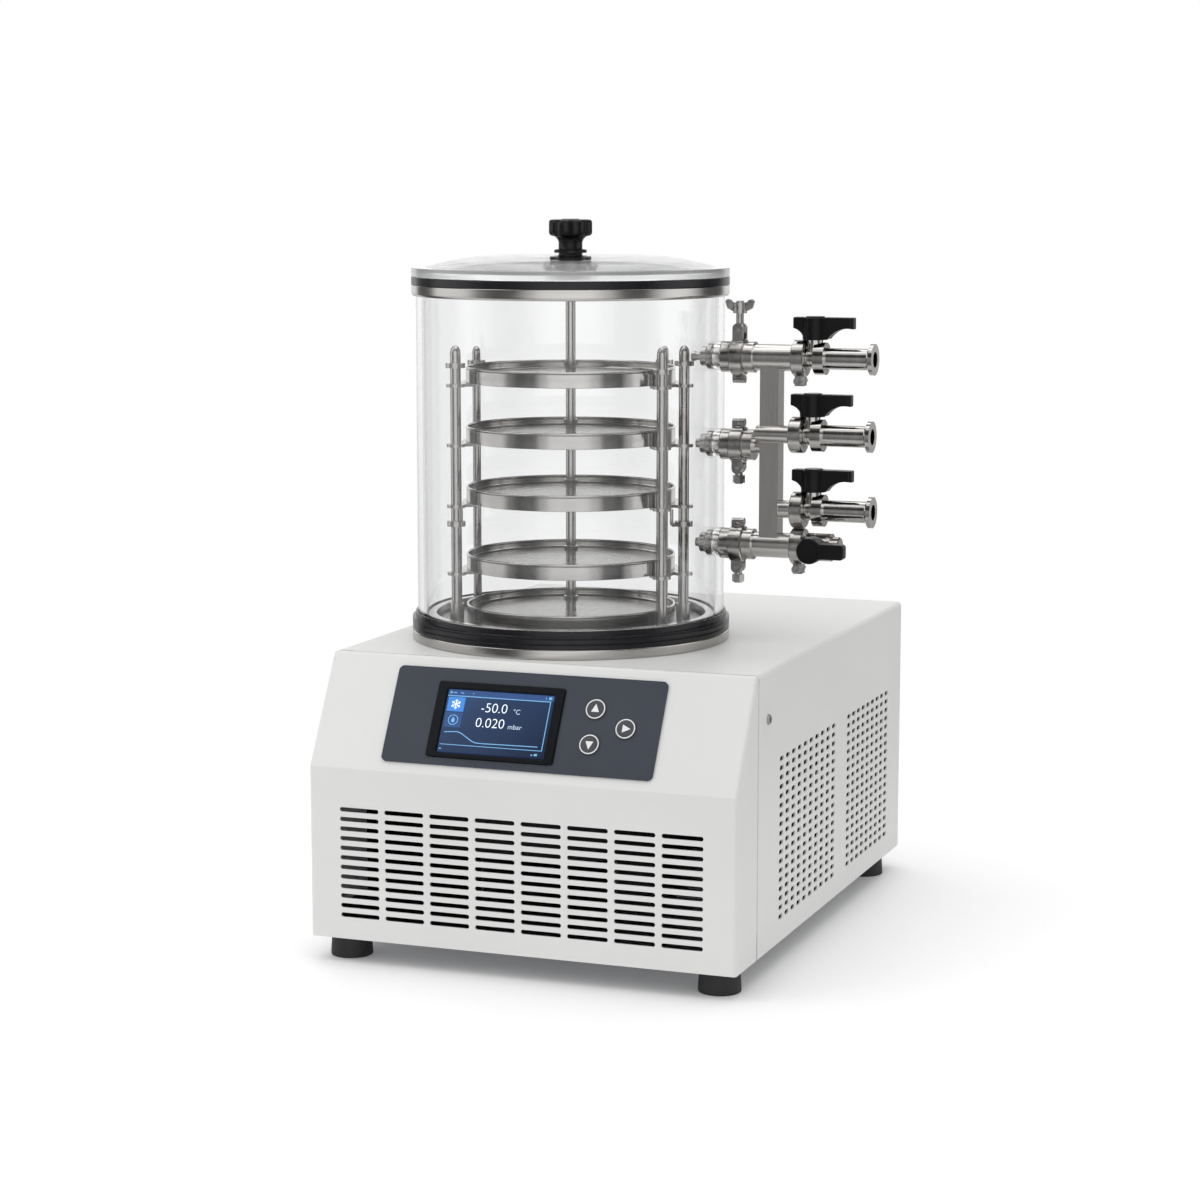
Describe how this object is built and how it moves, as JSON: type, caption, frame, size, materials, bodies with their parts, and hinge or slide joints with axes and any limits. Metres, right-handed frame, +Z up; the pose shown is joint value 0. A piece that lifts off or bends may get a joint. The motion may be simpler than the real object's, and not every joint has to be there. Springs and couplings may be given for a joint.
{
  "type": "freeze dryer",
  "caption": "Bench-top freeze dryer: sheet steel cabinet with cold trap, clear drying chamber with a tray rack, and a side manifold with plug valves.",
  "frame": {"origin": "on the bench, under the middle of the whole object's box", "axes": "+X to the right of the control face, towards the valves; +Y to the back; +Z up"},
  "size_m": [0.474, 0.5874, 0.6801],
  "materials": {
    "cabinet_paint": "fine textured light grey powder coat",
    "zinc": "zinc plated sheet",
    "screw_steel": "plain steel",
    "foot_rubber": "matt black rubber",
    "panel_slate": "dark slate overlay",
    "black_plastic": "black moulded plastic",
    "key_plastic": "dark grey keys with white marks",
    "screen_glass": "glossy lit screen",
    "board": "green circuit board",
    "black_enamel": "gloss black enamel",
    "fins": "black painted fins and tube",
    "stainless": "polished and brushed stainless steel",
    "copper": "drawn copper tube",
    "foam": "black closed-cell insulating foam",
    "seal_rubber": "black seal rubber",
    "clear_acrylic": "clear polished acrylic"
  },
  "bodies": {
    "cabinet": {"base_pan": "zinc", "front_panel": "cabinet_paint", "cabinet_cover": "cabinet_paint", "rear_panel": "cabinet_paint", "cover_screws": "screw_steel", "feet": "foot_rubber", "panel_plate": "panel_slate", "display_bezel": "black_plastic", "display_module": "screen_glass", "control_board": "board", "power_inlet": "black_plastic", "switch_housing": "black_plastic", "compressor": "black_enamel", "condenser": "fins", "fan_shroud": "black_plastic", "fan_motor": "black_enamel", "cold_trap": "stainless", "trap_coil": "copper", "trap_insulation": "foam", "refrigerant_lines": "copper", "filter_drier": "copper", "pump_port": "stainless", "base_ring": "stainless", "base_gasket": "seal_rubber", "chamber_cylinder": "clear_acrylic", "top_ring": "stainless", "lid_gasket": "seal_rubber", "lid": "clear_acrylic", "lid_gland": "stainless", "central_rod": "stainless", "rack_plate": "stainless", "rack_posts": "stainless", "tray_ledges": "stainless", "rack_collars": "stainless", "tray_1": "stainless", "tray_2": "stainless", "tray_3": "stainless", "tray_4": "stainless", "tray_5": "stainless", "port_nipples": "stainless", "manifold_header": "stainless", "centring_rings": "seal_rubber", "port_clamps": "stainless", "valve_clamps": "stainless", "clamp_bolts": "stainless", "valve_body_1": "stainless", "valve_body_2": "stainless", "valve_body_3": "stainless", "valve_body_4": "stainless"},
    "knob": {"lid_knob": "black_plastic"},
    "wing": {"wing_screw": "stainless"},
    "lever_1": {"valve_handle_1": "black_plastic"},
    "lever_2": {"valve_handle_2": "black_plastic"},
    "lever_3": {"valve_handle_3": "black_plastic"},
    "lever_4": {"valve_handle_4": "black_plastic"},
    "key_up": {"button_up": "key_plastic"},
    "key_down": {"button_down": "key_plastic"},
    "key_right": {"button_right": "key_plastic"},
    "rocker": {"power_switch": "black_plastic"},
    "fan": {"fan_rotor": "black_plastic"}
  },
  "joints": [
    {"name": "knob_turn", "type": "hinge", "parent": "cabinet", "child": "knob", "pos_m": [-0.062, -0.0725, 0.672], "axis": [0, 0, 1], "continuous": true},
    {"name": "wing_turn", "type": "hinge", "parent": "cabinet", "child": "wing", "pos_m": [0.1068, -0.0725, 0.594], "axis": [0, 0, 1], "continuous": true},
    {"name": "lever_1_turn", "type": "hinge", "parent": "cabinet", "child": "lever_1", "pos_m": [0.1797, -0.0725, 0.5735], "axis": [0, 0, 1], "range_deg": [0, 90]},
    {"name": "lever_2_turn", "type": "hinge", "parent": "cabinet", "child": "lever_2", "pos_m": [0.1797, -0.0785, 0.503], "axis": [0, 0, 1], "range_deg": [0, 90]},
    {"name": "lever_3_turn", "type": "hinge", "parent": "cabinet", "child": "lever_3", "pos_m": [0.1797, -0.0725, 0.4328], "axis": [0, 0, 1], "range_deg": [0, 90]},
    {"name": "lever_4_turn", "type": "hinge", "parent": "cabinet", "child": "lever_4", "pos_m": [0.1862, -0.0925, 0.3787], "axis": [0, 1, 0], "range_deg": [0, 90]},
    {"name": "key_up_press", "type": "slide", "parent": "cabinet", "child": "key_up", "axis": [0, 0.8709, -0.4914], "range_m": [0, 0.001], "stiffness_N_per_m": 400, "springref_m": -0.0005},
    {"name": "key_down_press", "type": "slide", "parent": "cabinet", "child": "key_down", "axis": [0, 0.8709, -0.4914], "range_m": [0, 0.001], "stiffness_N_per_m": 400, "springref_m": -0.0005},
    {"name": "key_right_press", "type": "slide", "parent": "cabinet", "child": "key_right", "axis": [0, 0.8709, -0.4914], "range_m": [0, 0.001], "stiffness_N_per_m": 400, "springref_m": -0.0005},
    {"name": "rocker_tilt", "type": "hinge", "parent": "cabinet", "child": "rocker", "pos_m": [0.0652, 0.2572, 0.215], "axis": [1, 0, 0], "range_deg": [-16, 0]},
    {"name": "fan_spin", "type": "hinge", "parent": "cabinet", "child": "fan", "pos_m": [0.1352, 0.1333, 0.12], "axis": [1, 0, 0], "continuous": true}
  ]
}
